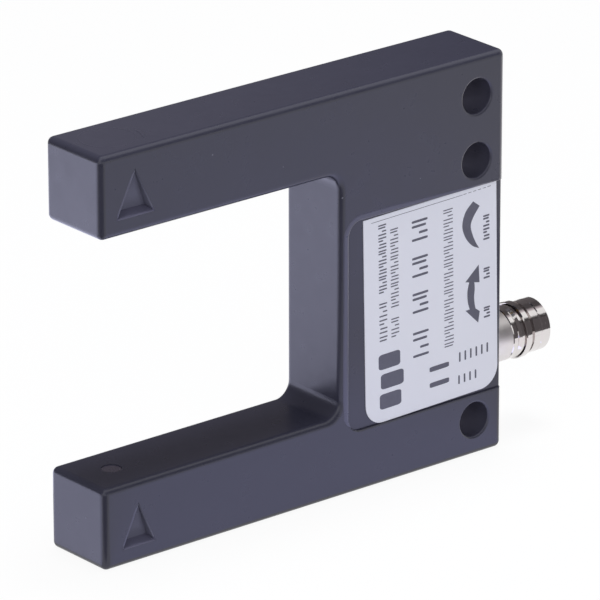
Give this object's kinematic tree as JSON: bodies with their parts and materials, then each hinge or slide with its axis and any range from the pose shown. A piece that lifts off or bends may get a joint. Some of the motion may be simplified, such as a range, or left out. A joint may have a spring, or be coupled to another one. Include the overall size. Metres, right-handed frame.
{
  "type": "fork light barrier sensor",
  "caption": "C-shaped fork sensor: two arms with facing lens windows, a flat spine with fixing holes, slotted adjusters and a round plug connector.",
  "frame": {"origin": "middle of the sensor's length, connector included, and of its thickness, on the plane of the lower arm's underside", "axes": "+X from the arm tips to the connector, -Y out of the label face, +Z from the lower arm to the upper arm"},
  "size_m": [0.0694, 0.01, 0.05],
  "materials": {
    "painted_body": "black powder coat on die-cast zinc, satin",
    "cover_paint": "black coat on sheet, satin",
    "label_film": "silver-white polyester film with plain dark shapes",
    "plug_paint": "black coat, flush plug",
    "lens": "clear moulded lens",
    "holder": "black moulded plastic",
    "led_epoxy": "clear epoxy",
    "diode_epoxy": "dark filter epoxy",
    "board": "green solder mask",
    "lead_insulation": "wire insulation",
    "screw_steel": "zinc-plated",
    "chip": "moulded package",
    "capacitor": "drawn can",
    "resistor": "glazed chip",
    "trimmer_body": "moulded body",
    "spindle": "turned, nickel-flashed slotted spindle",
    "status_epoxy": "amber epoxy",
    "status_guide": "clear light guide",
    "nickel": "bright nickel plate on turned brass",
    "seal_rubber": "nitrile",
    "insulator": "glass-filled nylon",
    "gold": "gold-flashed contact"
  },
  "bodies": {
    "sensor_body": {"housing": "painted_body", "back_cover": "cover_paint", "label": "label_film", "receiver_plug": "plug_paint", "emitter_plug": "plug_paint", "receiver_lens": "lens", "emitter_lens": "lens", "receiver_holder": "holder", "emitter_holder": "holder", "receiver_photodiode": "diode_epoxy", "emitter_led": "led_epoxy", "receiver_board": "board", "emitter_board": "board", "receiver_leads": "lead_insulation", "emitter_leads": "lead_insulation", "main_board": "board", "board_screws": "screw_steel", "controller_chip": "chip", "output_driver": "chip", "board_capacitors": "capacitor", "board_resistors": "resistor", "mode_trimmer": "trimmer_body", "sensitivity_trimmer": "trimmer_body", "status_led": "status_epoxy", "status_window": "status_guide", "connector_shell": "nickel", "connector_seal": "seal_rubber", "connector_nut": "nickel", "connector_insert": "insulator", "contact_pins": "gold"},
    "mode_spindle": {"mode_spindle": "spindle"},
    "sensitivity_spindle": {"sensitivity_spindle": "spindle"}
  },
  "joints": [
    {"name": "mode_turn", "type": "hinge", "parent": "sensor_body", "child": "mode_spindle", "pos_m": [0.0253, 0, 0.0208], "axis": [1, 0, 0], "range_deg": [0, 90]},
    {"name": "sensitivity_turn", "type": "hinge", "parent": "sensor_body", "child": "sensitivity_spindle", "pos_m": [0.0253, 0, 0.0294], "axis": [1, 0, 0], "range_deg": [-135, 135]}
  ]
}
